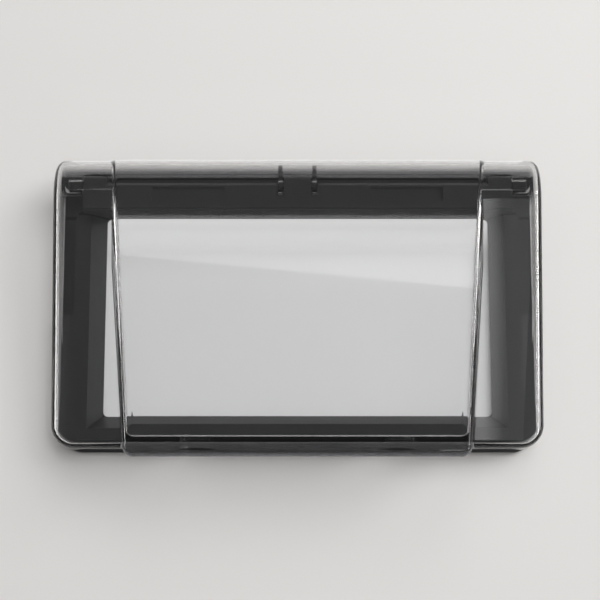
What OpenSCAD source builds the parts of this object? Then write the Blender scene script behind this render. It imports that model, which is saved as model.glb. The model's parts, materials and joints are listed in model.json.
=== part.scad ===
// Flip-up splash cover for two wall sockets that stand side by side.
// Millimetres. The origin is the centre of the socket opening on the wall, +Z is up,
// and the front of the cover looks along -Y, so a depth of 12 in front of the wall is y = -12.

/* [Socket opening] */
// Half width of the socket opening
opening_half_w = 88; // [87:0.5:90]
// Half height of the socket opening
opening_half_h = 46; // [45:0.5:47]
// Radius of the opening's corners
opening_r = 2.5; // [1:0.5:4]
// Distance between the middles of the two sockets
gang_pitch = 87.6; // [86:0.2:90]

/* [Lid] */
// Thickness of the lid's walls
lid_wall = 2.2; // [1.8:0.1:2.6]
// Gap between the base's rail and the lid's side walls
side_room = 6.3; // [4:0.1:8]
// Gap between the base's rail and the lid's bottom wall
foot_room = 1.7; // [1.7:0.1:3]
// Depth of the wings' front face at its foot
wing_foot_depth = 20; // [19:0.5:24]
// Radius of the big round along the lid's top front edge
brow_r = 19.5; // [18:0.5:20]
// Radius of the lid's lower corners, seen from the front
lid_corner_r = 10.5; // [8:0.5:12]
// Radius of the rounded edge between the wings' front and side faces
wing_edge_r = 4; // [3:0.5:5]
// Gap between the lid's rear edge and the back flange
rim_gap = 0.4; // [0.3:0.1:0.8]

/* [Raised centre of the lid] */
// Width of each wing where the raised centre leaves the top round
wing_top_w = 23.7; // [21:0.1:27]
// Width that shows of each wing at the foot of the raised centre's front face
wing_foot_w = 35.3; // [32:0.1:39]
// How far the raised centre stands over the top round
bulge_proud = 0.5; // [0.3:0.1:0.6]
// Depth of the raised centre's front face at its foot
bulge_foot_depth = 48; // [44:0.5:52]
// Narrowing of the raised centre towards its front, per millimetre of depth
bulge_draft = 0.114; // [0.08:0.002:0.13]
// Radius of the raised centre's front edges
bulge_edge_r = 2.8; // [2.4:0.1:3.2]
// Length of the finger lip below the lid's underside
lip_drop = 6.2; // [4:0.1:8]
// Radius of the lip's corners, seen from the front
lip_corner_r = 5; // [4:0.5:6]

/* [Base] */
// Distance of the back flange's side edges inside the lid's side faces
flange_inset = 0.9; // [0.5:0.1:2]
// Drop of the back flange below the lid's underside
flange_show = 0.7; // [0.3:0.1:1.2]
// Height of the back flange's top edge over the hinge axis
flange_rise = 10.6; // [10:0.1:10.8]
// Thickness of the back flange
flange_t = 2; // [1.6:0.1:2]
// Radius of the back flange's corners
flange_r = 12; // [11:0.5:14]
// Width of the raised rail beside the opening
rail_side_w = 13; // [12:0.1:15]
// Width of the raised rail below the opening
rail_foot_w = 11.4; // [10:0.1:12]
// Depth of the raised rail's front face
rail_depth = 12; // [10:0.5:13]
// Radius of the raised rail's lower corners
rail_r = 5; // [4:0.5:7]
// Width of the slope from the opening up to the rail's front face
slope_w = 6; // [4:0.5:7]
// Width of the ledges on the flange beside the middle of its top edge
ledge_w = 20; // [16:1:24]
// Thickness of these ledges
ledge_t = 1; // [0.8:0.1:1.2]

/* [Hinge] */
// Depth of the hinge axis in front of the wall
axis_depth = 15.5; // [15.5:0.1:16]
// Height of the hinge axis above the opening's top edge
axis_rise = 12.4; // [12:0.1:12.8]
// Radius of the lid's back round, which turns about the hinge axis
barrel_r = 11; // [10.6:0.1:11]
// Radius of the hinge pins
pin_r = 2; // [1.6:0.1:2.2]
// Running clearance of the pins in the lid
pin_run = 0.05; // [0.03:0.01:0.08]
// Clearance of the pins in the base
pin_seat = 0.02; // [0.01:0.01:0.04]
// Radius of the round bosses about the pins
boss_r = 4.6; // [4:0.1:5]
// Distance of the hinge rail's end ears inside the raised rail's sides
ear_inset = 4; // [3:0.1:5]
// Length of a pin inside its end ear
pin_in_ear = 8.5; // [6:0.5:10]
// Length of a pin inside its lid boss
pin_in_boss = 6.5; // [5:0.5:7]
// Side clearance between the lid's hinge parts and the base
side_gap = 0.6; // [0.4:0.1:1]
// Distance of the centre ribs from the middle
rib_x = 7.7; // [7:0.1:9]
// Thickness of the centre ribs
rib_t = 2; // [1.6:0.1:2.4]
// Distance of the hinge rail's front pockets from the middle
pocket_x = 33; // [30:1:36]
// Width of each pocket in the hinge rail's front
pocket_w = 33; // [28:1:36]
// Height of each pocket
pocket_h = 6.4; // [5:0.1:7]
// Depth of each pocket
pocket_d = 1.5; // [1:0.1:2]

/* [Cable outlets and seals] */
// Width of each cable outlet in the lid's underside
outlet_w = 18; // [14:1:22]
// Depth of the round end of each cable outlet
outlet_depth = 28; // [26:1:32]
// Thickness of the foam tape behind the flange
tape_t = 1; // [0.8:0.1:1.2]
// Distance of the tape from the flange's edges
tape_inset = 2.5; // [2:0.5:4]
// Depth of the seal's groove in the rail's outer side
groove_d = 1.2; // [0.8:0.1:1.6]
// Width of the seal along the rail's side
seal_w = 2.4; // [2:0.1:3]
// Depth of the seal's rear face in front of the wall
seal_depth = 5.4; // [5:0.1:6]
// Gap between the seal's lip and the lid
seal_gap = 0.35; // [0.3:0.05:0.6]

/* [Hidden] */
$fn = 64;
// Overshoot of a cutter past the face that it leaves by
over = 1;

rail_half_w = opening_half_w + rail_side_w;
rail_drop = opening_half_h + rail_foot_w;
lid_half_w = rail_half_w + side_room + lid_wall;
lid_bottom = -rail_drop - foot_room - lid_wall;
axis_z = opening_half_h + axis_rise;
bulge_top_half_w = lid_half_w - wing_top_w;
bulge_foot_half_w = lid_half_w - wing_foot_w;
hinge_half_w = rail_half_w - ear_inset;
flange_half_w = lid_half_w - flange_inset;
flange_top = axis_z + flange_rise;
lid_back = tape_t + flange_t + rim_gap;
brow_z = axis_z + barrel_r - brow_r;
bulge_brow_r = brow_r + bulge_proud;
bulge_barrel_r = barrel_r + bulge_proud;
lip_bottom = lid_bottom - lip_drop;
bulge_brow_depth = axis_depth + bulge_brow_r;
bulge_slope = (bulge_foot_depth - bulge_brow_depth) / (brow_z - lip_bottom);
// The lid's round back ends here, so that it passes the hinge rail as it turns
barrel_end_depth = axis_depth - barrel_r * cos(45);
ledge_z = flange_top - 3.4;
ledge_x = rib_x + rib_t / 2 + 1.3;
flange_front = tape_t + flange_t;
flange_bottom = lid_bottom - flange_show;
// The top of the rail stays under the path of the lid's round back
rail_top = axis_z - barrel_r + 0.6;
// The upright's back stays inside the path of the lid's round back
hinge_back = axis_depth - 3.3;
hinge_neck = axis_depth - 1.1;
hinge_front = axis_depth + 4.5;
hinge_shoulder_z = axis_z - 1;
hinge_top = axis_z + 0.6;
pocket_z = axis_z - 8.2;
boss_face = hinge_half_w + side_gap;
rib_slot = rib_t / 2 + side_gap;
slot_floor = axis_z - boss_r - side_gap - 1;
pin_chamfer = 0.4;

// Half width of the raised centre at a depth and a height, without the wall
function bulge_half_w(depth, z) =
    bulge_foot_half_w + (bulge_foot_depth - depth) * bulge_draft
    + max(0, z - lip_bottom) / (axis_z - lip_bottom)
    * (bulge_top_half_w - bulge_foot_half_w - (bulge_foot_depth - axis_depth) * bulge_draft);

// Rectangle with round corners, drawn from x0, z0 to x1, z1
module round_rect(x0, x1, z0, z1, r) {
    translate([x0 + r, z0]) square([x1 - x0 - 2 * r, z1 - z0]);
    translate([x0, z0 + r]) square([x1 - x0, z1 - z0 - 2 * r]);
    for (x = [x0 + r, x1 - r], z = [z0 + r, z1 - r]) translate([x, z]) circle(r);
}

// Outline drawn in x and z, made solid between two depths in front of the wall
module between(near, far) {
    translate([0, -near, 0]) rotate([90, 0, 0]) linear_extrude(far - near) children();
}

// Outline drawn in y and z, made solid across the whole width or between two places
module across(x0, x1) {
    translate([x0, 0, 0]) rotate([90, 0, 90]) linear_extrude(x1 - x0) children();
}

// Slice of a roller about an axis along X, with rounded ends; 0 turns up, 90 to the front
module roller(half_w, r, edge_r, depth, z, from, to) {
    translate([0, -depth, z]) rotate([0, 90, 0]) rotate([0, 0, 180 + from])
        rotate_extrude(angle = to - from) {
            translate([0, -half_w]) square([r - edge_r, 2 * half_w]);
            translate([0, edge_r - half_w]) square([r, 2 * (half_w - edge_r)]);
            for (s = [-1, 1]) translate([r - edge_r, s * (half_w - edge_r)]) circle(edge_r, $fn = 24);
        }
}

// Post along Y with a rounded front rim, from one depth to another
module post(x, z, r, edge_r, near, far) {
    translate([x, -near, z]) rotate([90, 0, 0]) rotate_extrude($fn = 48) {
        square([r - edge_r, far - near]);
        square([r, far - near - edge_r]);
        translate([r - edge_r, far - near - edge_r]) intersection() {
            circle(edge_r, $fn = 24);
            square(edge_r);
        }
    }
}

// The wings' closed form: round back, round brow and a front that leans back to its foot
module wing_form(inset, back) {
    half_w = lid_half_w - inset;
    edge_r = wing_edge_r - inset;
    hull() {
        roller(half_w, brow_r - inset, edge_r, axis_depth, brow_z, 0, 105);
        roller(half_w, barrel_r - inset, edge_r, axis_depth, axis_z, 0, 360);
        for (s = [-1, 1])
            post(s * (lid_half_w - lid_corner_r), lid_bottom + lid_corner_r, lid_corner_r - inset,
                 edge_r, back, wing_foot_depth - inset);
    }
}

// The raised centre's closed form, which narrows to its foot and to its front
module bulge_form(inset, back, bottom) {
    edge_r = bulge_edge_r - inset * 0.8;
    corner_r = lip_corner_r - inset * 0.8;
    hull() {
        roller(bulge_half_w(axis_depth, axis_z) - inset, bulge_barrel_r - inset, edge_r,
               axis_depth, axis_z, 0, 360);
        for (a = [0:15:90]) {
            depth = axis_depth + bulge_brow_r * sin(a);
            z = brow_z + bulge_brow_r * cos(a);
            roller(bulge_half_w(depth, z) - inset, bulge_brow_r - inset, edge_r,
                   axis_depth, brow_z, a - 0.5, a + 0.5);
        }
        for (s = [-1, 1]) {
            front = bulge_foot_depth - (bottom - lip_bottom) * bulge_slope - inset;
            post(s * (bulge_half_w(front + inset, bottom) - inset - corner_r), bottom + corner_r,
                 corner_r, edge_r, front - 2 * edge_r, front);
            post(s * (bulge_half_w(back, bottom) - inset - corner_r), bottom + corner_r,
                 corner_r, edge_r, back, back + 2 * edge_r);
        }
    }
}

// Everything behind the finger lip and below the lid's underside
module under_lip() {
    lip_back = bulge_foot_depth - lid_wall;
    across(-lid_half_w, lid_half_w) polygon([
        [over, lid_bottom],
        [-(lip_back - lip_drop * bulge_slope), lid_bottom],
        [-(lip_back + over * bulge_slope), lip_bottom - over],
        [over, lip_bottom - over]
    ]);
}

// Rib that carries the middle of the lid on the centre pin
module lid_rib(x) {
    across(x - rib_t / 2, x + rib_t / 2) {
        translate([-axis_depth, axis_z]) circle(boss_r);
        translate([-axis_depth - boss_r, axis_z])
            square([2 * boss_r, barrel_r + bulge_proud - lid_wall / 2]);
    }
}

module lid() {
    color([0.28, 0.28, 0.29, 0.6]) difference() {
        union() {
            difference() {
                union() {
                    wing_form(0, lid_back);
                    bulge_form(0, axis_depth, lip_bottom);
                }
                under_lip();
                wing_form(lid_wall, -over);
                bulge_form(lid_wall, axis_depth - wing_edge_r, lid_bottom + lid_wall);
                between(-over, barrel_end_depth)
                    translate([lid_wall - lid_half_w, lid_bottom + lid_corner_r])
                    square([2 * (lid_half_w - lid_wall), 2 * lid_half_w]);
            }
            for (s = [-1, 1]) {
                translate([s * boss_face, -axis_depth, axis_z]) rotate([0, s * 90, 0])
                    cylinder(r = boss_r, h = lid_half_w - lid_wall / 2 - boss_face);
                lid_rib(s * rib_x);
            }
        }
        for (s = [-1, 1])
            translate([s * (boss_face - over), -axis_depth, axis_z]) rotate([0, s * 90, 0])
                cylinder(r = pin_r + pin_run, h = over + pin_in_boss + pin_run);
        translate([-rib_x - rib_t, -axis_depth, axis_z]) rotate([0, 90, 0])
            cylinder(r = pin_r + pin_run, h = 2 * (rib_x + rib_t));
        for (s = [-1, 1]) translate([s * gang_pitch / 2, 0, lid_bottom - over]) {
            translate([0, outlet_w / 2 - outlet_depth, 0])
                cylinder(r = outlet_w / 2, h = lid_wall + 2 * over);
            translate([-outlet_w / 2, outlet_w / 2 - outlet_depth, 0])
                cube([outlet_w, outlet_depth, lid_wall + 2 * over]);
        }
    }
}

// Outline of the socket opening
module opening_outline() {
    round_rect(-opening_half_w, opening_half_w, -opening_half_h, opening_half_h, opening_r);
}

// Cutter for the slope that rises from the opening's sides and foot to the rail's front face
module slope_cut() {
    reach = opening_half_w + slope_w * (rail_depth + over - flange_front) / (rail_depth - flange_front);
    drop = opening_half_h + slope_w * (rail_depth + over - flange_front) / (rail_depth - flange_front);
    intersection() {
        translate([0, 0, -drop]) linear_extrude(drop + opening_half_h) polygon([
            [-opening_half_w, -flange_front], [opening_half_w, -flange_front],
            [reach, -rail_depth - over], [-reach, -rail_depth - over]
        ]);
        across(-reach, reach) polygon([
            [-flange_front, opening_half_h], [-flange_front, -opening_half_h],
            [-rail_depth - over, -drop], [-rail_depth - over, opening_half_h]
        ]);
    }
}

// Outline of the raised rail, taken in by an inset
module rail_outline(inset) {
    round_rect(inset - rail_half_w, rail_half_w - inset, inset - rail_drop, rail_top, rail_r - inset);
}

// The hinge rail: a shelf over the opening with an upright that carries the pins
module hinge_rail() {
    across(-hinge_half_w, hinge_half_w) polygon([
        [-rail_depth + over, opening_half_h], [-hinge_front, opening_half_h],
        [-hinge_front, hinge_shoulder_z], [-axis_depth - 3, hinge_top],
        [-hinge_back, hinge_top], [-hinge_back, axis_z - 7], [-hinge_neck, axis_z - 8.4],
        [-hinge_neck, rail_top], [-rail_depth + over, rail_top]
    ]);
}

// Round bosses at the ends and in the middle of the hinge rail
module hinge_bosses() {
    for (s = [-1, 1])
        translate([s * (hinge_half_w - pin_in_ear - 2), -axis_depth, axis_z]) rotate([0, s * 90, 0])
            cylinder(r = boss_r, h = pin_in_ear + 2);
    lug = rib_x - rib_slot;
    translate([-lug, -axis_depth, axis_z]) rotate([0, 90, 0]) cylinder(r = boss_r, h = 2 * lug);
}

module base_frame() {
    color([0.16, 0.16, 0.17]) difference() {
        union() {
            between(tape_t, flange_front)
                round_rect(-flange_half_w, flange_half_w, flange_bottom, flange_top, flange_r);
            between(flange_front, rail_depth) rail_outline(0);
            hinge_rail();
            hinge_bosses();
            for (s = [-1, 1])
                translate([s * (ledge_x + ledge_w / 2) - ledge_w / 2, -flange_front - ledge_t, ledge_z])
                    cube([ledge_w, ledge_t + flange_t / 2, ledge_t]);
        }
        between(0, hinge_front + over) opening_outline();
        slope_cut();
        // Groove for the seal
        between(seal_depth, seal_depth + seal_w) difference() {
            translate([-flange_half_w, -flange_half_w]) square([2 * flange_half_w, flange_half_w]);
            rail_outline(groove_d);
        }
        // Slots for the lid's centre ribs
        for (s = [-1, 1])
            translate([s * rib_x - rib_slot, -hinge_front - over, slot_floor])
                cube([2 * rib_slot, hinge_front - hinge_back + 2 * over, axis_z]);
        // Pockets that keep the hinge rail's wall even
        for (s = [-1, 1])
            translate([s * (pocket_x + pocket_w / 2) - pocket_w / 2, -hinge_front - over, pocket_z])
                cube([pocket_w, pocket_d + over, pocket_h]);
        // Pin bores
        for (s = [-1, 1])
            translate([s * (hinge_half_w - pin_in_ear - pin_seat), -axis_depth, axis_z])
                rotate([0, s * 90, 0]) cylinder(r = pin_r + pin_seat, h = pin_in_ear + over);
        translate([-rib_x, -axis_depth, axis_z]) rotate([0, 90, 0])
            cylinder(r = pin_r + pin_seat, h = 2 * rib_x);
    }
}

// Steel pin along X with chamfered ends
module pin(x0, x1) {
    translate([x0, -axis_depth, axis_z]) rotate([0, 90, 0]) rotate_extrude() polygon([
        [0, 0], [pin_r - pin_chamfer, 0], [pin_r, pin_chamfer],
        [pin_r, x1 - x0 - pin_chamfer], [pin_r - pin_chamfer, x1 - x0], [0, x1 - x0]
    ]);
}

module hinge_pin_left() {
    color("silver") pin(-boss_face - pin_in_boss, pin_in_ear - hinge_half_w);
}

module hinge_pin_right() {
    color("silver") pin(hinge_half_w - pin_in_ear, boss_face + pin_in_boss);
}

module centre_hinge_pin() {
    color("silver") pin(-rib_x - rib_t / 2, rib_x + rib_t / 2);
}

// Soft strip in the rail's groove, whose lip reaches out to the lid's inner face
module lid_seal() {
    reach = side_room - seal_gap;
    fall = foot_room - seal_gap;
    color([0.1, 0.1, 0.1]) between(seal_depth, seal_depth + seal_w) difference() {
        intersection() {
            round_rect(-rail_half_w - reach, rail_half_w + reach, -rail_drop - fall, rail_top,
                       lid_corner_r - lid_wall - seal_gap);
            translate([-lid_half_w, -lid_half_w]) square([2 * lid_half_w, lid_half_w]);
        }
        rail_outline(groove_d);
    }
}

// Double-sided foam tape between the flange and the wall
module foam_tape() {
    color([0.85, 0.85, 0.83]) between(0, tape_t) difference() {
        round_rect(tape_inset - flange_half_w, flange_half_w - tape_inset,
                   flange_bottom + tape_inset, flange_top - tape_inset, flange_r - tape_inset);
        round_rect(-opening_half_w - tape_inset, opening_half_w + tape_inset,
                   -opening_half_h - tape_inset, opening_half_h + tape_inset, opening_r);
    }
}

base_frame();
lid();
hinge_pin_left();
hinge_pin_right();
centre_hinge_pin();
lid_seal();
foam_tape();
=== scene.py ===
"""Looks of a flip-up splash cover of smoked clear plastic over a double wall socket."""

from __future__ import annotations

import json
import logging
import math
from dataclasses import dataclass
from enum import Enum

import bmesh
import bpy
import numpy as np
from mathutils import Matrix

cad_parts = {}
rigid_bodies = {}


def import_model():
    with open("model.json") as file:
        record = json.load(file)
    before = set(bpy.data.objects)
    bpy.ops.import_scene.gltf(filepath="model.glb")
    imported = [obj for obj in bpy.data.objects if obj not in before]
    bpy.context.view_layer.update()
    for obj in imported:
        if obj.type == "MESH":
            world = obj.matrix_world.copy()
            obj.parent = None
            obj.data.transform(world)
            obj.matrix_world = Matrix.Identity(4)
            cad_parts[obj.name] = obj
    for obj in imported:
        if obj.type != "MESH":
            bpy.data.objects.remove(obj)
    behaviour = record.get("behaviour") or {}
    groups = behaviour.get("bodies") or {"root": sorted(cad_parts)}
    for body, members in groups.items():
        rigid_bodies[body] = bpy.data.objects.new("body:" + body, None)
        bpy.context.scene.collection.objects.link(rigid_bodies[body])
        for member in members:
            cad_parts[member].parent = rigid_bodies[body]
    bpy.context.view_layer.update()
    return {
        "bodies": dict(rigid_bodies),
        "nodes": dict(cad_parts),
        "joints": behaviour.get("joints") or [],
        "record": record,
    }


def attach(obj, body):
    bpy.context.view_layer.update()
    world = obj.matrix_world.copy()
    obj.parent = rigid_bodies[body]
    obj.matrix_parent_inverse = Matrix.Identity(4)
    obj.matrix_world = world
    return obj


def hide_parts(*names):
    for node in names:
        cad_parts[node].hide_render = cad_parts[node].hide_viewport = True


LOG = logging.getLogger("splash_cover")
MM = 0.001
SKIN_MERGE = 0.002 * MM
FLAT_DEGREES = 0.05
Colour = tuple[float, float, float]
Place = tuple[float, float, float]
Pair = tuple[float, float]
Span = tuple[float, float]


class Side(Enum):
    """Left and right half of the cover, as the factor of a place along X."""

    LEFT = -1
    RIGHT = 1


class Role(Enum):
    """What a lamp is for: to light the scene, or to be mirrored in gloss."""

    LIGHTS = "lights"
    MIRRORED = "mirrored"


class Cut(Enum):
    """What a closed tool mesh does to the mesh that it meets."""

    JOIN = "UNION"
    CARVE = "DIFFERENCE"


# Small helpers for node trees


def new_material(name: str) -> tuple[bpy.types.Material, bpy.types.Node]:
    """Makes an empty material.

    Args:
        name: The material's name.

    Returns:
        The material and its Principled shader, which feeds the surface output.
    """
    material = bpy.data.materials.new(name)
    material.use_nodes = True
    tree = material.node_tree
    tree.nodes.clear()
    output = tree.nodes.new("ShaderNodeOutputMaterial")
    output.name = "out"
    shader = tree.nodes.new("ShaderNodeBsdfPrincipled")
    tree.links.new(shader.outputs["BSDF"], output.inputs["Surface"])
    return material, shader


def object_place(tree: bpy.types.NodeTree) -> bpy.types.Node:
    """Adds object coordinates and returns the node that gives their X, Y and Z."""
    place = tree.nodes.new("ShaderNodeTexCoord")
    split = tree.nodes.new("ShaderNodeSeparateXYZ")
    tree.links.new(place.outputs["Object"], split.inputs["Vector"])
    return split


def rise(tree: bpy.types.NodeTree, value: bpy.types.NodeSocket, span: Span) -> bpy.types.NodeSocket:
    """Rises evenly from 0 to 1 while a value goes through a span.

    Args:
        tree: The material's node tree.
        value: The socket that holds the value.
        span: The value where the rise starts, and where it ends.

    Returns:
        The socket with the share.
    """
    ramp = tree.nodes.new("ShaderNodeMapRange")
    ramp.inputs["From Min"].default_value, ramp.inputs["From Max"].default_value = span
    tree.links.new(value, ramp.inputs["Value"])
    return ramp.outputs["Result"]


def pair_up(tree: bpy.types.NodeTree, operation: str, one: bpy.types.NodeSocket,
            two: bpy.types.NodeSocket) -> bpy.types.NodeSocket:
    """Combines two values.

    Args:
        tree: The material's node tree.
        operation: The Math node's operation.
        one: The first value's socket.
        two: The second value's socket.

    Returns:
        The result's socket.
    """
    step = tree.nodes.new("ShaderNodeMath")
    step.operation = operation
    tree.links.new(one, step.inputs[0])
    tree.links.new(two, step.inputs[1])
    return step.outputs["Value"]


def mixed_shaders(tree: bpy.types.NodeTree, factor: bpy.types.NodeSocket,
                  first: bpy.types.NodeSocket, second: bpy.types.NodeSocket
                  ) -> bpy.types.NodeSocket:
    """Mixes two shaders: the first where the factor is 0, the second where it is 1.

    Args:
        tree: The node tree.
        factor: The socket that holds the second shader's share.
        first: The first shader's socket.
        second: The second shader's socket.

    Returns:
        The mixed shader's socket.
    """
    mix = tree.nodes.new("ShaderNodeMixShader")
    tree.links.new(factor, mix.inputs["Fac"])
    tree.links.new(first, mix.inputs[1])
    tree.links.new(second, mix.inputs[2])
    return mix.outputs["Shader"]


def noise(tree: bpy.types.NodeTree, scale: float, detail: float) -> bpy.types.NodeSocket:
    """Adds a noise pattern on object coordinates and returns its factor.

    Args:
        tree: The material's node tree.
        scale: Waves per metre.
        detail: Octaves of finer waves.

    Returns:
        The noise factor's socket, from 0 to 1.
    """
    place = tree.nodes.new("ShaderNodeTexCoord")
    pattern = tree.nodes.new("ShaderNodeTexNoise")
    pattern.inputs["Scale"].default_value = scale
    pattern.inputs["Detail"].default_value = detail
    tree.links.new(place.outputs["Object"], pattern.inputs["Vector"])
    return pattern.outputs["Fac"]


def spread(tree: bpy.types.NodeTree, factor: bpy.types.NodeSocket, low: float,
           high: float) -> bpy.types.NodeSocket:
    """Spreads a factor from 0 to 1 over a range.

    Args:
        tree: The material's node tree.
        factor: The socket that holds the factor.
        low: Result where the factor is 0.
        high: Result where the factor is 1.

    Returns:
        The result's socket.
    """
    ranged = tree.nodes.new("ShaderNodeMapRange")
    ranged.inputs["To Min"].default_value = low
    ranged.inputs["To Max"].default_value = high
    tree.links.new(factor, ranged.inputs["Value"])
    return ranged.outputs["Result"]


def shade_mix(tree: bpy.types.NodeTree, factor: bpy.types.NodeSocket, dark: Colour,
              light: Colour) -> bpy.types.NodeSocket:
    """Mixes two colours by a factor.

    Args:
        tree: The material's node tree.
        factor: The socket that holds the share of the light colour.
        dark: Colour where the factor is 0.
        light: Colour where the factor is 1.

    Returns:
        The mixed colour's socket.
    """
    mix = tree.nodes.new("ShaderNodeMix")
    mix.data_type = "RGBA"
    mix.inputs["A"].default_value = (*dark, 1.0)
    mix.inputs["B"].default_value = (*light, 1.0)
    tree.links.new(factor, mix.inputs["Factor"])
    return mix.outputs["Result"]


def bump(tree: bpy.types.NodeTree, shader: bpy.types.Node, height: bpy.types.NodeSocket,
         strength: float, distance: float) -> None:
    """Feeds a height pattern to a shader's normal.

    Args:
        tree: The material's node tree.
        shader: The shader that gets the bump.
        height: The socket that holds the height, from 0 to 1.
        strength: Share of the bump that shows.
        distance: Height in metres where the pattern is 1.
    """
    node = tree.nodes.new("ShaderNodeBump")
    node.inputs["Strength"].default_value = strength
    node.inputs["Distance"].default_value = distance
    tree.links.new(height, node.inputs["Height"])
    tree.links.new(node.outputs["Normal"], shader.inputs["Normal"])


# Finishes


@dataclass(frozen=True)
class SmokedClear:
    """Clear smoked plastic, tinted through its thickness and polished by the mould."""

    refraction: float = 1.49
    absorbed_per_m: float = 50.0
    tint: Colour = (0.03, 0.03, 0.045)
    streaks_per_m: float = 60.0
    roughness: Span = (0.012, 0.03)
    passed: Colour = (0.96, 0.96, 0.96)
    clear: Colour = (1.0, 1.0, 1.0)
    # Painted shade: the finger lip is darker towards its lower edge.
    lip_shade: Colour = (0.25, 0.25, 0.26)
    lip_shade_span: Span = (-62.0 * MM, -59.0 * MM)
    # Painted shade: the back of the top round is darker, upwards and towards the wall.
    crown_shade: Colour = (0.16, 0.16, 0.17)
    crown_shade_span: Span = (-18.0 * MM, -9.0 * MM)
    crown_shade_rise: Span = (50.0 * MM, 56.0 * MM)

    def tone(self, tree: bpy.types.NodeTree) -> bpy.types.NodeSocket:
        """Colours the lid: clear, with painted shade on the finger lip and on the back of its top
        round.

        The lip's painted shade falls away with height. The back's painted shade is the product of a
        rise with height and a rise towards the wall.

        Args:
            tree: The material's node tree.

        Returns:
            The colour's socket.
        """
        place = object_place(tree)
        # Painted shade on the finger lip, fading out with height.
        above_lip_shade = rise(tree, place.outputs["Z"], self.lip_shade_span)
        # Painted shade on the back of the top round.
        behind = rise(tree, place.outputs["Y"], self.crown_shade_span)
        high = rise(tree, place.outputs["Z"], self.crown_shade_rise)
        upper = tree.nodes.new("ShaderNodeMix")
        upper.data_type = "RGBA"
        tree.links.new(pair_up(tree, "MULTIPLY", behind, high), upper.inputs["Factor"])
        tree.links.new(shade_mix(tree, above_lip_shade, self.lip_shade, self.clear), upper.inputs["A"])
        upper.inputs["B"].default_value = (*self.crown_shade, 1.0)
        return upper.outputs["Result"]

    def material(self) -> bpy.types.Material:
        """Makes the material: a clear shader with an absorbing inside.

        Shadow rays and diffuse rays pass straight through it, so that what lies behind is lit.

        Returns:
            The material.
        """
        material, shader = new_material("smoked_clear")
        tree = material.node_tree
        tree.links.new(self.tone(tree), shader.inputs["Base Color"])
        shader.inputs["Transmission Weight"].default_value = 1.0
        shader.inputs["IOR"].default_value = self.refraction
        streaks = noise(tree, self.streaks_per_m, 2.0)
        tree.links.new(spread(tree, streaks, *self.roughness), shader.inputs["Roughness"])
        path = tree.nodes.new("ShaderNodeLightPath").outputs
        soft = pair_up(tree, "MAXIMUM", path["Is Shadow Ray"], path["Is Diffuse Ray"])
        passing = tree.nodes.new("ShaderNodeBsdfTransparent")
        passing.inputs["Color"].default_value = (*self.passed, 1.0)
        surface = mixed_shaders(tree, soft, shader.outputs["BSDF"], passing.outputs["BSDF"])
        tree.links.new(surface, tree.nodes["out"].inputs["Surface"])
        smoke = tree.nodes.new("ShaderNodeVolumeAbsorption")
        smoke.inputs["Color"].default_value = (*self.tint, 1.0)
        smoke.inputs["Density"].default_value = self.absorbed_per_m
        tree.links.new(smoke.outputs["Volume"], tree.nodes["out"].inputs["Volume"])
        return material


@dataclass(frozen=True)
class SmokedBase:
    """Dark smoked plastic of the base, half glossy with a faint flow pattern."""

    dark: Colour = (0.010, 0.010, 0.011)
    light: Colour = (0.018, 0.018, 0.019)
    flow_per_m: float = 25.0
    haze_per_m: float = 140.0
    roughness: Span = (0.33, 0.43)
    refraction: float = 1.5
    grain_per_m: float = 1800.0
    grain_share: float = 0.03
    grain_height: float = 0.03 * MM
    dull_z: float = 46.1 * MM
    dull_reach: float = 0.7 * MM

    def dull(self, tree: bpy.types.NodeTree) -> bpy.types.NodeSocket:
        """Marks the dull underside above the opening, which lies at one height.

        Args:
            tree: The material's node tree.

        Returns:
            The socket with 1 near that height and 0 elsewhere.
        """
        near = tree.nodes.new("ShaderNodeMath")
        near.operation = "COMPARE"
        near.inputs[1].default_value = self.dull_z
        near.inputs[2].default_value = self.dull_reach
        tree.links.new(object_place(tree).outputs["Z"], near.inputs[0])
        return near.outputs["Value"]

    def material(self) -> bpy.types.Material:
        """Returns the material: dark plastic whose tone drifts a little along the mould."""
        material, shader = new_material("smoked_base")
        tree = material.node_tree
        flow = noise(tree, self.flow_per_m, 3.0)
        tree.links.new(shade_mix(tree, flow, self.dark, self.light), shader.inputs["Base Color"])
        haze = spread(tree, noise(tree, self.haze_per_m, 2.0), *self.roughness)
        tree.links.new(pair_up(tree, "MAXIMUM", haze, self.dull(tree)), shader.inputs["Roughness"])
        shader.inputs["IOR"].default_value = self.refraction
        bump(tree, shader, noise(tree, self.grain_per_m, 2.0), self.grain_share, self.grain_height)
        return material


@dataclass(frozen=True)
class BlackenedSteel:
    """Blackened steel with a fine grain."""

    dark: Colour = (0.045, 0.045, 0.047)
    light: Colour = (0.080, 0.080, 0.083)
    scratches_per_m: float = 2500.0
    roughness: Span = (0.22, 0.38)

    def material(self) -> bpy.types.Material:
        """Returns the material: dark metal with fine scratches."""
        material, shader = new_material("blackened_steel")
        tree = material.node_tree
        scratches = noise(tree, self.scratches_per_m, 4.0)
        tone = shade_mix(tree, scratches, self.dark, self.light)
        tree.links.new(tone, shader.inputs["Base Color"])
        tree.links.new(spread(tree, scratches, *self.roughness), shader.inputs["Roughness"])
        shader.inputs["Metallic"].default_value = 1.0
        return material


@dataclass(frozen=True)
class Silicone:
    """Soft black silicone with a dull skin."""

    dark: Colour = (0.016, 0.016, 0.017)
    light: Colour = (0.028, 0.028, 0.030)
    grain_per_m: float = 900.0
    grain_share: float = 0.25
    grain_height: float = 0.05 * MM
    roughness: Span = (0.55, 0.75)

    def material(self) -> bpy.types.Material:
        """Returns the material: dull black with a fine grain."""
        material, shader = new_material("silicone")
        tree = material.node_tree
        grain = noise(tree, self.grain_per_m, 3.0)
        tree.links.new(shade_mix(tree, grain, self.dark, self.light), shader.inputs["Base Color"])
        tree.links.new(spread(tree, grain, *self.roughness), shader.inputs["Roughness"])
        bump(tree, shader, grain, self.grain_share, self.grain_height)
        return material


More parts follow.
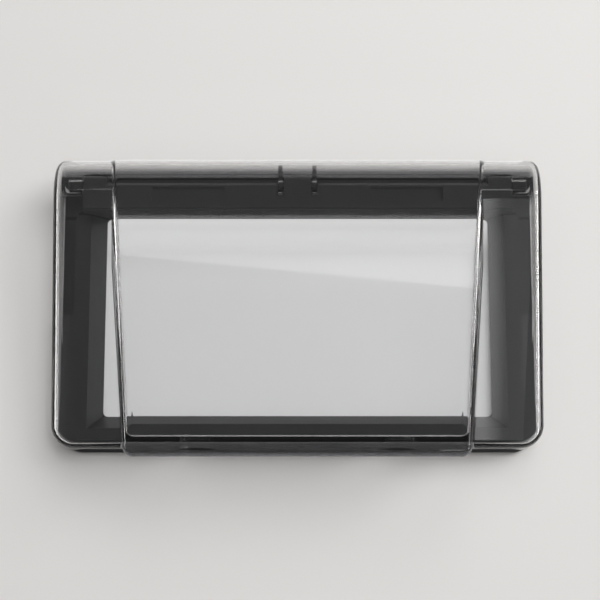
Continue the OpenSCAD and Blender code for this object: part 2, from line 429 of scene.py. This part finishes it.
@dataclass(frozen=True)
class FoamTape:
    """Closed-cell foam of the wall tape, off-white with fine cells."""

    dark: Colour = (0.58, 0.58, 0.56)
    light: Colour = (0.74, 0.74, 0.72)
    cells_per_m: float = 1500.0
    pit_share: float = 0.5
    pit_depth: float = 0.1 * MM
    roughness: float = 0.9

    def material(self) -> bpy.types.Material:
        """Returns the material: cells of foam as small pits."""
        material, shader = new_material("foam_tape")
        tree = material.node_tree
        place = tree.nodes.new("ShaderNodeTexCoord")
        cells = tree.nodes.new("ShaderNodeTexVoronoi")
        cells.inputs["Scale"].default_value = self.cells_per_m
        tree.links.new(place.outputs["Object"], cells.inputs["Vector"])
        height = cells.outputs["Distance"]
        tree.links.new(shade_mix(tree, height, self.light, self.dark), shader.inputs["Base Color"])
        shader.inputs["Roughness"].default_value = self.roughness
        bump(tree, shader, height, self.pit_share, self.pit_depth)
        return material


@dataclass(frozen=True)
class PaintedWall:
    """Matt emulsion on a plastered wall, not seen from behind, with a lighter patch behind the
    opening. The patch stands partly for white socket plates and is partly painted light that makes
    up for the lid's tint and shade; it is painted lighter towards its top. Its upper part glows as
    painted light, because the hinge rail would shade it.
    """

    tone: Colour = (0.72, 0.705, 0.69)
    # Lighter patch behind the opening: partly standing for white socket plates, partly painted
    # light that makes up for the lid's tint and shade, and painted lighter still towards its top.
    behind: Colour = (0.85, 0.85, 0.85)
    painted_light_top: Colour = (0.92, 0.92, 0.92)
    patch: Pair = (90.0 * MM, 47.5 * MM)
    painted_light_rise: Span = (10.0 * MM, 42.0 * MM)
    # Painted light: the patch's upper part glows to make up for the hinge rail's shade.
    glow: Colour = (0.5, 0.5, 0.5)
    painted_glow_span: Span = (30.0 * MM, 46.0 * MM)
    roughness: float = 0.9
    gloss: float = 0.1
    grain_per_m: float = 350.0
    grain_share: float = 0.05
    grain_height: float = 0.2 * MM

    def patch_share(self, tree: bpy.types.NodeTree, place: bpy.types.Node) -> bpy.types.NodeSocket:
        """Marks the rectangle behind the opening: 1 where x and z both lie within its half sizes.

        Args:
            tree: The material's node tree.
            place: The node that gives x, y and z.

        Returns:
            The socket with 1 inside the rectangle and 0 outside.
        """
        within = []
        for axis, reach in zip(("X", "Z"), self.patch):
            away = tree.nodes.new("ShaderNodeMath")
            away.operation = "ABSOLUTE"
            tree.links.new(place.outputs[axis], away.inputs[0])
            inside = tree.nodes.new("ShaderNodeMath")
            inside.operation = "LESS_THAN"
            inside.inputs[1].default_value = reach
            tree.links.new(away.outputs["Value"], inside.inputs[0])
            within.append(inside.outputs["Value"])
        return pair_up(tree, "MULTIPLY", *within)

    def material(self) -> bpy.types.Material:
        """Returns the material: matt paint in front, nothing from behind."""
        material, shader = new_material("painted_wall")
        tree = material.node_tree
        place = object_place(tree)
        # Painted light: the patch behind the opening is lighter, and lighter still towards its top.
        share = self.patch_share(tree, place)
        painted_light_rise = rise(tree, place.outputs["Z"], self.painted_light_rise)
        colour = tree.nodes.new("ShaderNodeMix")
        colour.data_type = "RGBA"
        colour.inputs["A"].default_value = (*self.tone, 1.0)
        tree.links.new(share, colour.inputs["Factor"])
        tree.links.new(shade_mix(tree, painted_light_rise, self.behind, self.painted_light_top), colour.inputs["B"])
        tree.links.new(colour.outputs["Result"], shader.inputs["Base Color"])
        # Painted light: the upper part of the patch glows where the hinge rail would shade it.
        top = pair_up(tree, "MULTIPLY", share, rise(tree, place.outputs["Z"], self.painted_glow_span))
        glow = shade_mix(tree, top, (0.0, 0.0, 0.0), self.glow)
        tree.links.new(glow, shader.inputs["Emission Color"])
        shader.inputs["Emission Strength"].default_value = 1.0
        shader.inputs["Roughness"].default_value = self.roughness
        shader.inputs["Specular IOR Level"].default_value = self.gloss
        bump(tree, shader, noise(tree, self.grain_per_m, 3.0), self.grain_share, self.grain_height)
        sides = tree.nodes.new("ShaderNodeNewGeometry")
        clear = tree.nodes.new("ShaderNodeBsdfTransparent")
        surface = mixed_shaders(tree, sides.outputs["Backfacing"], shader.outputs["BSDF"],
                                clear.outputs["BSDF"])
        tree.links.new(surface, tree.nodes["out"].inputs["Surface"])
        return material


# Mesh helpers; all places are in metres in the shared frame


def mesh_object(name: str, points: np.ndarray, faces: list[list[int]]) -> bpy.types.Object:
    """Makes an object at the origin from points and faces.

    Args:
        name: The object's name.
        points: Places as an array of N by 3.
        faces: Rings of point numbers.

    Returns:
        The new object, linked to the scene.
    """
    mesh = bpy.data.meshes.new(name)
    mesh.from_pydata(points.tolist(), [], faces)
    mesh.update()
    made = bpy.data.objects.new(name, mesh)
    bpy.context.scene.collection.objects.link(made)
    return made


def stretched_skin(name: str, points: np.ndarray) -> bpy.types.Object:
    """Stretches a tight skin over rows of points, as over a frame of hoops.

    Args:
        name: The object's name.
        points: Places as an array of N by 3.

    Returns:
        A closed convex object whose flat faces are whole.
    """
    shell = bmesh.new()
    for place in points:
        shell.verts.new(place)
    made = bmesh.ops.convex_hull(shell, input=shell.verts)
    loose = {part for part in made["geom_interior"] + made["geom_unused"]
             if isinstance(part, bmesh.types.BMVert)}
    bmesh.ops.delete(shell, geom=list(loose), context="VERTS")
    bmesh.ops.remove_doubles(shell, verts=shell.verts, dist=SKIN_MERGE)
    bmesh.ops.dissolve_limit(shell, angle_limit=math.radians(FLAT_DEGREES), verts=shell.verts,
                             edges=shell.edges)
    bmesh.ops.recalc_face_normals(shell, faces=shell.faces)
    mesh = bpy.data.meshes.new(name)
    shell.to_mesh(mesh)
    shell.free()
    skin = bpy.data.objects.new(name, mesh)
    bpy.context.scene.collection.objects.link(skin)
    return skin


def bar(name: str, outline: np.ndarray, axis: int, low: float, high: float) -> bpy.types.Object:
    """Makes a straight bar: the outline is drawn across an axis and carried along it.

    Args:
        name: The object's name.
        outline: The outline's corners, N by 2, in the two other axes in X, Y, Z order.
        axis: 0, 1 or 2 for a bar along X, Y or Z.
        low: Where the bar starts.
        high: Where it ends.

    Returns:
        The closed bar.
    """
    count = len(outline)
    across = [k for k in range(3) if k != axis]
    points = np.zeros((2 * count, 3))
    points[:, across] = np.vstack([outline, outline])
    points[:count, axis], points[count:, axis] = low, high
    ring = np.arange(count)
    ahead = np.roll(ring, -1)
    sides = np.stack([ring, ahead, ahead + count, ring + count], axis=1).tolist()
    made = mesh_object(name, points, sides + [ring[::-1].tolist(), (ring + count).tolist()])
    shell = bmesh.new()
    shell.from_mesh(made.data)
    bmesh.ops.recalc_face_normals(shell, faces=shell.faces)
    shell.to_mesh(made.data)
    shell.free()
    return made


def disc(centre: Pair, radius: float, start: float = 0.0, end: float = 360.0,
         steps: int = 64) -> np.ndarray:
    """Points on an arc: the centre plus the radius turned evenly from start to end.

    Args:
        centre: The arc's centre.
        radius: Its radius.
        start: Where it starts, in degrees.
        end: Where it ends; a full circle leaves this point out.
        steps: Number of points.

    Returns:
        Places in the plane as an array of N by 2.
    """
    turn = np.radians(np.linspace(start, end, steps, endpoint=end - start < 360.0))
    return np.stack([centre[0] + radius * np.cos(turn), centre[1] + radius * np.sin(turn)], axis=1)


def finished_mesh(target: bpy.types.Object) -> None:
    """Bakes an object's modifiers into its mesh."""
    graph = bpy.context.evaluated_depsgraph_get()
    baked = bpy.data.meshes.new_from_object(target.evaluated_get(graph))
    target.modifiers.clear()
    target.data = baked


def combine(target: bpy.types.Object, tools: list[bpy.types.Object], how: Cut) -> None:
    """Joins closed tools to a closed mesh, or carves them out of it, one by one.

    Args:
        target: The mesh that changes.
        tools: The tools, which are deleted afterwards.
        how: Whether the tools are joined or carved out.
    """
    for tool in tools:
        step = target.modifiers.new("combine", "BOOLEAN")
        step.operation, step.solver, step.object = how.value, "MANIFOLD", tool
        finished_mesh(target)
        bpy.data.objects.remove(tool)


def dress(target: bpy.types.Object, material: bpy.types.Material) -> None:
    """Gives an object one material and takes any other away."""
    target.data.materials.clear()
    target.data.materials.append(material)


def smooth_by_angle(target: bpy.types.Object, degrees: float) -> None:
    """Shades an object smoothly, with sharp edges and flat faces kept.

    Args:
        target: The object.
        degrees: Edges with a larger angle than this stay sharp.
    """
    target.data.polygons.foreach_set("use_smooth", np.ones(len(target.data.polygons), dtype=bool))
    target.data.set_sharp_from_angle(angle=math.radians(degrees))
    step = target.modifiers.new("flat_faces", "WEIGHTED_NORMAL")
    step.keep_sharp = True
    finished_mesh(target)


# Sub-assemblies


@dataclass
class Lid:
    """The clear lid: two rounded forms under one top round, hollow, with its hinge parts inside."""

    wall: float = 2.2 * MM
    half_w: float = 109.5 * MM
    bottom: float = -61.3 * MM
    corner_r: float = 10.5 * MM
    edge_r: float = 4.0 * MM
    back: float = 3.4 * MM
    foot_depth: float = 20.0 * MM
    axis_depth: float = 15.5 * MM
    axis_z: float = 58.4 * MM
    barrel_r: float = 11.0 * MM
    brow_r: float = 19.5 * MM
    bulge_proud: float = 0.5 * MM
    bulge_top_half_w: float = 85.8 * MM
    bulge_foot_half_w: float = 74.2 * MM
    bulge_foot_depth: float = 48.0 * MM
    bulge_draft: float = 0.114
    bulge_edge_r: float = 2.8 * MM
    lip_drop: float = 6.2 * MM
    lip_corner_r: float = 5.0 * MM
    boss_r: float = 4.6 * MM
    boss_face: float = 97.6 * MM
    bore_r: float = 2.05 * MM
    bore_depth: float = 6.55 * MM
    rib_x: float = 7.7 * MM
    rib_t: float = 2.0 * MM
    outlet_x: float = 43.8 * MM
    outlet_w: float = 18.0 * MM
    outlet_depth: float = 28.0 * MM
    end_draft: float = 0.028
    lean_from: float = 92.0 * MM
    over: float = 1.0 * MM
    inner_edge_share: float = 0.8
    gap_degrees: float = 45.0
    brow_step: float = 2.5
    barrel_step: float = 4.0
    arch_steps: int = 33
    bore_steps: int = 48
    sharp_degrees: float = 32.0

    @property
    def brow_z(self) -> float:
        """Height of the brow's centre."""
        return self.axis_z + self.barrel_r - self.brow_r

    @property
    def lip_bottom(self) -> float:
        """Height of the finger lip's lower edge."""
        return self.bottom - self.lip_drop

    @property
    def bulge_slope(self) -> float:
        """How far the raised centre comes forward for each unit of height on the way down."""
        brow_depth = self.axis_depth + self.brow_r + self.bulge_proud
        return (self.bulge_foot_depth - brow_depth) / (self.brow_z - self.lip_bottom)

    def bulge_half_w(self, depth: np.ndarray, z: np.ndarray) -> np.ndarray:
        """Half width of the raised centre at a depth and a height.

        It is the foot's half width, plus the draft for each unit of depth behind the front, plus a
        share of the widening to the top that grows evenly with height.

        Args:
            depth: Depths in front of the wall.
            z: Heights.

        Returns:
            The half widths.
        """
        widening = (self.bulge_top_half_w - self.bulge_foot_half_w
                    - (self.bulge_foot_depth - self.axis_depth) * self.bulge_draft)
        share = np.maximum(0.0, z - self.lip_bottom) / (self.axis_z - self.lip_bottom)
        drafted = (self.bulge_foot_depth - depth) * self.bulge_draft
        return self.bulge_foot_half_w + drafted + share * widening

    def turns(self, end: float) -> tuple[np.ndarray, np.ndarray]:
        """Lists the turns, in radians, at which the skins get their hoops.

        Args:
            end: Where the brow ends, in degrees from straight up.

        Returns:
            The brow's turns from straight up to that end, and the barrel's full turn.
        """
        brow = np.radians(np.arange(0.0, end + 0.1, self.brow_step))
        return brow, np.radians(np.arange(0.0, 360.0, self.barrel_step))

    @staticmethod
    def hoops(half_w: np.ndarray, radius: float, edge_r: float, depth: float, z: float,
              turn: np.ndarray, steps: int = 9) -> np.ndarray:
        """Points on the two rounded rims of a roller along X.

        At turn t, measured from straight up towards the front, and rim angle a, a point lies at
        radius r - e + e cos a from the axis and at plus or minus (w - e + e sin a) along X.

        Args:
            half_w: Half width at each turn.
            radius: The roller's radius r.
            edge_r: The rim's radius e.
            depth: Depth of the axis in front of the wall.
            z: Height of the axis.
            turn: Turns in radians.
            steps: Points round each rim.

        Returns:
            Places as an array of N by 3.
        """
        rim = np.linspace(0.0, math.pi / 2.0, steps)
        turns, rims = np.meshgrid(turn, rim, indexing="ij")
        reach = radius - edge_r + edge_r * np.cos(rims)
        x = half_w[:, None] - edge_r + edge_r * np.sin(rims)
        y = -depth - reach * np.sin(turns)
        height = z + reach * np.cos(turns)
        one = np.stack([x, y, height], axis=-1).reshape(-1, 3)
        return np.vstack([one, one * (-1.0, 1.0, 1.0)])

    @staticmethod
    def post(x: float, z: float, radius: float, edge_r: float, near: float, far: float,
             steps: int = 9) -> np.ndarray:
        """Points on a post along Y with a rounded front rim, and on its twin at -x.

        At angle t round the post and rim angle a, a point lies at radius r - e + e cos a and at
        depth far - e + e sin a; a last ring lies at the near depth.

        Args:
            x: The post's place along X.
            z: Its height.
            radius: Its radius r.
            edge_r: The rim's radius e.
            near: Depth of its end near the wall.
            far: Depth of its front.
            steps: Points across the rim.

        Returns:
            Places as an array of N by 3.
        """
        turn = np.radians(np.linspace(0.0, 360.0, 73)[:-1])
        rim = np.linspace(0.0, math.pi / 2.0, steps)
        reach = np.append(radius - edge_r + edge_r * np.cos(rim), radius)
        depth = np.append(far - edge_r + edge_r * np.sin(rim), near)
        turns, reaches = np.meshgrid(turn, reach, indexing="ij")
        depths = np.broadcast_to(depth, turns.shape)
        one = np.stack([x + reaches * np.cos(turns), -depths, z + reaches * np.sin(turns)], axis=-1)
        one = one.reshape(-1, 3)
        return np.vstack([one, one * (-1.0, 1.0, 1.0)])

    def wing_form(self, inset: float, back: float) -> bpy.types.Object:
        """Makes the wings' closed form: a skin over the brow, the barrel and the two foot posts.

        Args:
            inset: How far its outline and front are taken in.
            back: Depth of its back.

        Returns:
            The closed form.
        """
        brow, barrel = self.turns(105.0)
        half_w, edge_r = self.half_w - inset, self.edge_r - inset
        points = [
            self.hoops(np.full(len(brow), half_w), self.brow_r - inset, edge_r, self.axis_depth,
                       self.brow_z, brow),
            self.hoops(np.full(len(barrel), half_w), self.barrel_r - inset, edge_r, self.axis_depth,
                       self.axis_z, barrel),
            self.post(self.half_w - self.corner_r, self.bottom + self.corner_r,
                      self.corner_r - inset, edge_r, back, self.foot_depth - inset),
        ]
        return stretched_skin("wing_form", np.vstack(points))

    def bulge_form(self, inset: float, back: float, bottom: float) -> bpy.types.Object:
        """Makes the raised centre's closed form: a skin over its brow, its barrel and its foot.

        Args:
            inset: How far its outline and front are taken in.
            back: Depth of its back at the foot.
            bottom: Height of its foot.

        Returns:
            The closed form.
        """
        edge_r = self.bulge_edge_r - inset * self.inner_edge_share
        corner_r = self.lip_corner_r - inset * self.inner_edge_share
        radius = self.brow_r + self.bulge_proud
        brow, barrel = self.turns(90.0)
        depth, z = self.axis_depth + radius * np.sin(brow), self.brow_z + radius * np.cos(brow)
        top_w = float(self.bulge_half_w(self.axis_depth, self.axis_z)) - inset
        front = self.bulge_foot_depth - (bottom - self.lip_bottom) * self.bulge_slope - inset
        front_w = float(self.bulge_half_w(front + inset, bottom)) - inset - corner_r
        back_w = float(self.bulge_half_w(back, bottom)) - inset - corner_r
        points = [
            self.hoops(self.bulge_half_w(depth, z) - inset, radius - inset, edge_r, self.axis_depth,
                       self.brow_z, brow),
            self.hoops(np.full(len(barrel), top_w), self.barrel_r + self.bulge_proud - inset,
                       edge_r, self.axis_depth, self.axis_z, barrel),
            self.post(front_w, bottom + corner_r, corner_r, edge_r, front - 2 * edge_r, front),
            self.post(back_w, bottom + corner_r, corner_r, edge_r, back, back + 2 * edge_r),
        ]
        return stretched_skin("bulge_form", np.vstack(points))

    def under_lip(self) -> bpy.types.Object:
        """Everything behind the finger lip and below the lid's underside."""
        lip_back = self.bulge_foot_depth - self.wall
        outline = np.array([
            [self.over, self.bottom],
            [-(lip_back - self.lip_drop * self.bulge_slope), self.bottom],
            [-(lip_back + self.over * self.bulge_slope), self.lip_bottom - self.over],
            [self.over, self.lip_bottom - self.over],
        ])
        return bar("under_lip", outline, 0, -self.half_w, self.half_w)

    def barrel_gap(self) -> bpy.types.Object:
        """The open back of the round, where it passes the base's hinge rail."""
        end = self.axis_depth - self.barrel_r * math.cos(math.radians(self.gap_degrees))
        x, low, high = self.half_w - self.wall, self.bottom + self.corner_r, self.half_w
        outline = np.array([[-end, low], [self.over, low], [self.over, high], [-end, high]])
        return bar("barrel_gap", outline, 0, -x, x)

    def hinge_parts(self) -> list[bpy.types.Object]:
        """The end bosses and the two centre ribs."""
        parts = []
        hub = (-self.axis_depth, self.axis_z)
        rib_top = self.axis_z + self.barrel_r + self.bulge_proud - self.wall / 2.0
        lobe = disc(hub, self.boss_r, 180.0, 360.0, self.arch_steps)
        rib = np.vstack([lobe, [[hub[0] + self.boss_r, rib_top], [hub[0] - self.boss_r, rib_top]]])
        for side in Side:
            ends = sorted((side.value * self.boss_face,
                           side.value * (self.half_w - self.wall / 2.0)))
            parts.append(bar("boss", disc(hub, self.boss_r), 0, *ends))
            x = side.value * self.rib_x
            parts.append(bar("rib", rib, 0, x - self.rib_t / 2.0, x + self.rib_t / 2.0))
        return parts

    def holes(self) -> list[bpy.types.Object]:
        """The pin bores and the two cable outlets."""
        tools = []
        hub = (-self.axis_depth, self.axis_z)
        for side in Side:
            ends = sorted((side.value * (self.boss_face - self.over),
                           side.value * (self.boss_face + self.bore_depth)))
            tools.append(bar("bore", disc(hub, self.bore_r, steps=self.bore_steps), 0, *ends))
            x, r = side.value * self.outlet_x, self.outlet_w / 2.0
            arch = disc((x, r - self.outlet_depth), r, 180.0, 360.0, self.arch_steps)
            outline = np.vstack([arch, [[x + r, self.over], [x - r, self.over]]])
            tools.append(bar("outlet", outline, 2, self.bottom - self.over,
                             self.bottom + self.wall + self.over))
        reach = self.rib_x + self.rib_t
        tools.append(bar("bore", disc(hub, self.bore_r, steps=self.bore_steps), 0, -reach, reach))
        return tools

    def lean(self, lid: bpy.types.Object) -> None:
        """Leans the end faces inwards, as a mould needs.

        A point moves towards the middle by the draft times its depth in front of the lid's back,
        with a share that rises evenly from nothing beside the raised centre to all of it at the
        ends.

        Args:
            lid: The lid, whose points move.
        """
        count = len(lid.data.vertices)
        flat = np.empty(3 * count)
        lid.data.vertices.foreach_get("co", flat)
        points = flat.reshape(count, 3)
        beyond = np.abs(points[:, 0]) - self.lean_from
        share = np.clip(beyond / (self.half_w - self.lean_from), 0.0, 1.0)
        depth = np.maximum(-points[:, 1] - self.back, 0.0)
        points[:, 0] -= np.sign(points[:, 0]) * share * depth * self.end_draft
        lid.data.vertices.foreach_set("co", points.ravel())
        lid.data.update()

    def build(self) -> bpy.types.Object:
        """Builds, dresses and places the lid.

        Returns:
            The finished lid, which rides on the lid body.
        """
        lid = self.wing_form(0.0, self.back)
        lid.name = "clear_lid"
        combine(lid, [self.bulge_form(0.0, self.axis_depth, self.lip_bottom)], Cut.JOIN)
        carved = [
            self.under_lip(),
            self.wing_form(self.wall, -self.over),
            self.bulge_form(self.wall, self.axis_depth - self.edge_r, self.bottom + self.wall),
            self.barrel_gap(),
        ]
        combine(lid, carved, Cut.CARVE)
        combine(lid, self.hinge_parts(), Cut.JOIN)
        combine(lid, self.holes(), Cut.CARVE)
        self.lean(lid)
        smooth_by_angle(lid, self.sharp_degrees)
        dress(lid, SmokedClear().material())
        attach(lid, "lid")
        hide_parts("lid")
        return lid


@dataclass
class Base:
    """The dark base frame: the CAD solid with its edges eased as a mould leaves them."""

    frame: dict
    ease: float = 0.35 * MM
    merge: float = 0.003 * MM
    flat_degrees: float = 1.0
    sharp_degrees: float = 35.0

    def build(self) -> bpy.types.Object:
        """Copies the base, eases its edges and dresses it.

        Returns:
            The finished base, which rides on the base body.
        """
        source = self.frame["nodes"]["base_frame"]
        base = bpy.data.objects.new("moulded_base", source.data.copy())
        bpy.context.scene.collection.objects.link(base)
        shell = bmesh.new()
        shell.from_mesh(base.data)
        bmesh.ops.remove_doubles(shell, verts=shell.verts, dist=self.merge)
        bmesh.ops.dissolve_limit(shell, angle_limit=math.radians(self.flat_degrees),
                                 verts=shell.verts, edges=shell.edges)
        shell.to_mesh(base.data)
        shell.free()
        step = base.modifiers.new("ease", "BEVEL")
        step.width, step.segments, step.limit_method = self.ease, 2, "ANGLE"
        step.angle_limit = math.radians(self.sharp_degrees)
        finished_mesh(base)
        smooth_by_angle(base, self.sharp_degrees)
        dress(base, SmokedBase().material())
        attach(base, "base")
        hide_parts("base_frame")
        return base


@dataclass
class SmallParts:
    """The pins, the seal and the tape, which keep their CAD solids and get their finishes."""

    frame: dict

    def build(self) -> list[str]:
        """Dresses each small part.

        Returns:
            The nodes' names.
        """
        steel, rubber = BlackenedSteel().material(), Silicone().material()
        foam = FoamTape().material()
        finishes = {
            "hinge_pin_left": steel, "hinge_pin_right": steel, "centre_hinge_pin": steel,
            "lid_seal": rubber, "foam_tape": foam,
        }
        for node, material in finishes.items():
            for slot in self.frame["nodes"][node].material_slots:
                slot.material = material
        return list(finishes)


@dataclass(frozen=True)
class GlowCard:
    """A glowing card that only gloss shows; its glow can fade to a rest along X."""

    name: str
    low_left: Pair
    high_right: Pair
    glow: float
    rest: float = 0.0
    fade: Span = (5.0, 6.0)
    away: float = 2.1
    low_right_z: float | None = None

    def material(self) -> bpy.types.Material:
        """Returns the material: a glow that falls evenly to its rest between two places along X."""
        material = bpy.data.materials.new(self.name)
        material.use_nodes = True
        tree = material.node_tree
        tree.nodes.clear()
        output = tree.nodes.new("ShaderNodeOutputMaterial")
        light = tree.nodes.new("ShaderNodeEmission")
        gone = rise(tree, object_place(tree).outputs["X"], self.fade)
        tree.links.new(spread(tree, gone, self.glow, self.rest), light.inputs["Strength"])
        tree.links.new(light.outputs["Emission"], output.inputs["Surface"])
        return material

    def build(self) -> bpy.types.Object:
        """Builds the card and hides it from all but mirrored rays.

        Returns:
            The card.
        """
        (left, low), (right, high) = self.low_left, self.high_right
        low_right = low if self.low_right_z is None else self.low_right_z
        corners = ((left, low), (right, low_right), (right, high), (left, high))
        points = np.array([(x, -self.away, z) for x, z in corners])
        card = mesh_object(self.name, points, [[0, 1, 2, 3]])
        dress(card, self.material())
        card.visible_camera = card.visible_diffuse = card.visible_transmission = False
        card.visible_shadow = False
        return card


@dataclass(frozen=True)
class SoftBox:
    """A rectangular lamp that faces the cover."""

    name: str
    place: Place
    size: Pair
    power: float
    role: Role = Role.LIGHTS

    def build(self) -> bpy.types.Object:
        """Builds the lamp, with its width level.

        Returns:
            The lamp.
        """
        data = bpy.data.lights.new(self.name, "AREA")
        data.shape, data.energy = "RECTANGLE", self.power
        data.size, data.size_y = self.size
        lamp = bpy.data.objects.new(self.name, data)
        away = np.array(self.place) / np.linalg.norm(self.place)
        side = np.cross((0.0, 0.0, 1.0), away)
        side = side / np.linalg.norm(side)
        turn = Matrix(np.stack([side, np.cross(away, side), away], axis=1).tolist()).to_4x4()
        lamp.matrix_world = Matrix.Translation(self.place) @ turn
        lamp.visible_glossy = lamp.visible_transmission = self.role is Role.MIRRORED
        lamp.visible_diffuse = self.role is Role.LIGHTS
        bpy.context.scene.collection.objects.link(lamp)
        return lamp


@dataclass(frozen=True)
class Studio:
    """The wall, the light and the camera of the photograph."""

    pixels: int = 600
    focal_pixels: float = 1512.0
    sensor: float = 36.0
    camera_at: Place = (1.15 * MM, -685.0 * MM, -118.7 * MM)
    pitch: float = 10.5
    wall_reach: float = 3.0
    wall_gap: float = 0.2 * MM
    cut_out: tuple[float, float, float] = (105.0 * MM, -58.5 * MM, 65.5 * MM)
    island: Pair = (92.0 * MM, 50.0 * MM)
    pale: Colour = (0.80, 0.79, 0.78)
    room_tone: Colour = (1.0, 0.995, 0.99)
    room: float = 0.19
    lights: tuple[SoftBox, ...] = (
        SoftBox("key", (1.55, -1.6, 0.8), (1.0, 0.9), 38.0),
        SoftBox("top", (0.3, -1.5, 1.5), (1.0, 0.8), 11.0),
        SoftBox("behind", (-1.0, 1.6, 0.9), (1.5, 1.2), 30.0),
        SoftBox("fill", (0.3, -2.2, 0.1), (1.6, 1.4), 13.0),
    )
    cards: tuple[GlowCard, ...] = (
        GlowCard("face_card", (-0.45, 0.995), (0.42, 1.07), 2.8, low_right_z=0.905),
        GlowCard("wing_card", (0.25, -0.5), (0.45, 0.03), 3.3, rest=0.8, fade=(0.338, 0.375)),
        GlowCard("crest_card", (-0.106, 0.078), (0.106, 0.110), 1.3, away=0.5 * MM),
    )
    strips: tuple[SoftBox, ...] = (
        SoftBox("strip_right", (1.3, -0.75, 0.0), (0.22, 1.2), 12.0, Role.MIRRORED),
        SoftBox("strip_left", (-1.4, -0.7, 0.0), (0.3, 1.2), 9.0, Role.MIRRORED),
    )

    def camera(self) -> None:
        """Places the camera in front of the wall and below the cover, looking up."""
        data = bpy.data.cameras.new("camera")
        data.sensor_width = self.sensor
        data.lens = self.sensor * self.focal_pixels / self.pixels
        camera = bpy.data.objects.new("camera", data)
        camera.location = self.camera_at
        camera.rotation_euler = (math.radians(90.0 + self.pitch), 0.0, 0.0)
        bpy.context.scene.collection.objects.link(camera)
        bpy.context.scene.camera = camera

    def wall(self) -> None:
        """Puts the wall behind the cover, cut out behind the tape so that its back gets light.

        The wall is four quads between its far corners and the cut-out's corners, and one quad
        behind the opening.
        """
        r = self.wall_reach
        x, low, high = self.cut_out
        inner_x, inner_z = self.island
        rings = ((-r, -r, r, r), (-x, low, x, high), (-inner_x, -inner_z, inner_x, inner_z))
        points = np.array([(px, self.wall_gap, pz) for x0, z0, x1, z1 in rings
                           for px, pz in ((x0, z0), (x1, z0), (x1, z1), (x0, z1))])
        around = [[k, (k + 1) % 4, 4 + (k + 1) % 4, 4 + k] for k in range(4)]
        wall = mesh_object("wall", points, around + [[8, 9, 10, 11]])
        dress(wall, PaintedWall().material())

    def world(self) -> None:
        """Fills the room with even light, and shows a pale ground to the camera."""
        world = bpy.data.worlds.new("studio")
        world.use_nodes = True
        tree = world.node_tree
        tree.nodes.clear()
        output = tree.nodes.new("ShaderNodeOutputWorld")
        light = tree.nodes.new("ShaderNodeBackground")
        light.inputs["Color"].default_value = (*self.room_tone, 1.0)
        light.inputs["Strength"].default_value = self.room
        shown = tree.nodes.new("ShaderNodeBackground")
        shown.inputs["Color"].default_value = (*self.pale, 1.0)
        path = tree.nodes.new("ShaderNodeLightPath")
        ground = mixed_shaders(tree, path.outputs["Is Camera Ray"], light.outputs["Background"],
                               shown.outputs["Background"])
        tree.links.new(ground, output.inputs["Surface"])
        bpy.context.scene.world = world

    def build(self) -> None:
        """Sets up the camera, the wall and the light."""
        self.camera()
        self.wall()
        self.world()
        for source in (*self.lights, *self.cards, *self.strips):
            source.build()
        bpy.context.scene.view_settings.view_transform = "Standard"


def main() -> None:
    """Builds the cover's pieces in order, then the studio."""
    logging.basicConfig(level=logging.INFO, format="%(message)s")
    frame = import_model()
    base = Base(frame).build()
    LOG.info("%s: %d faces", base.name, len(base.data.polygons))
    for node in SmallParts(frame).build():
        LOG.info("%s: dressed", node)
    lid = Lid().build()
    LOG.info("%s: %d faces", lid.name, len(lid.data.polygons))
    Studio().build()


if __name__ == "__main__":
    main()
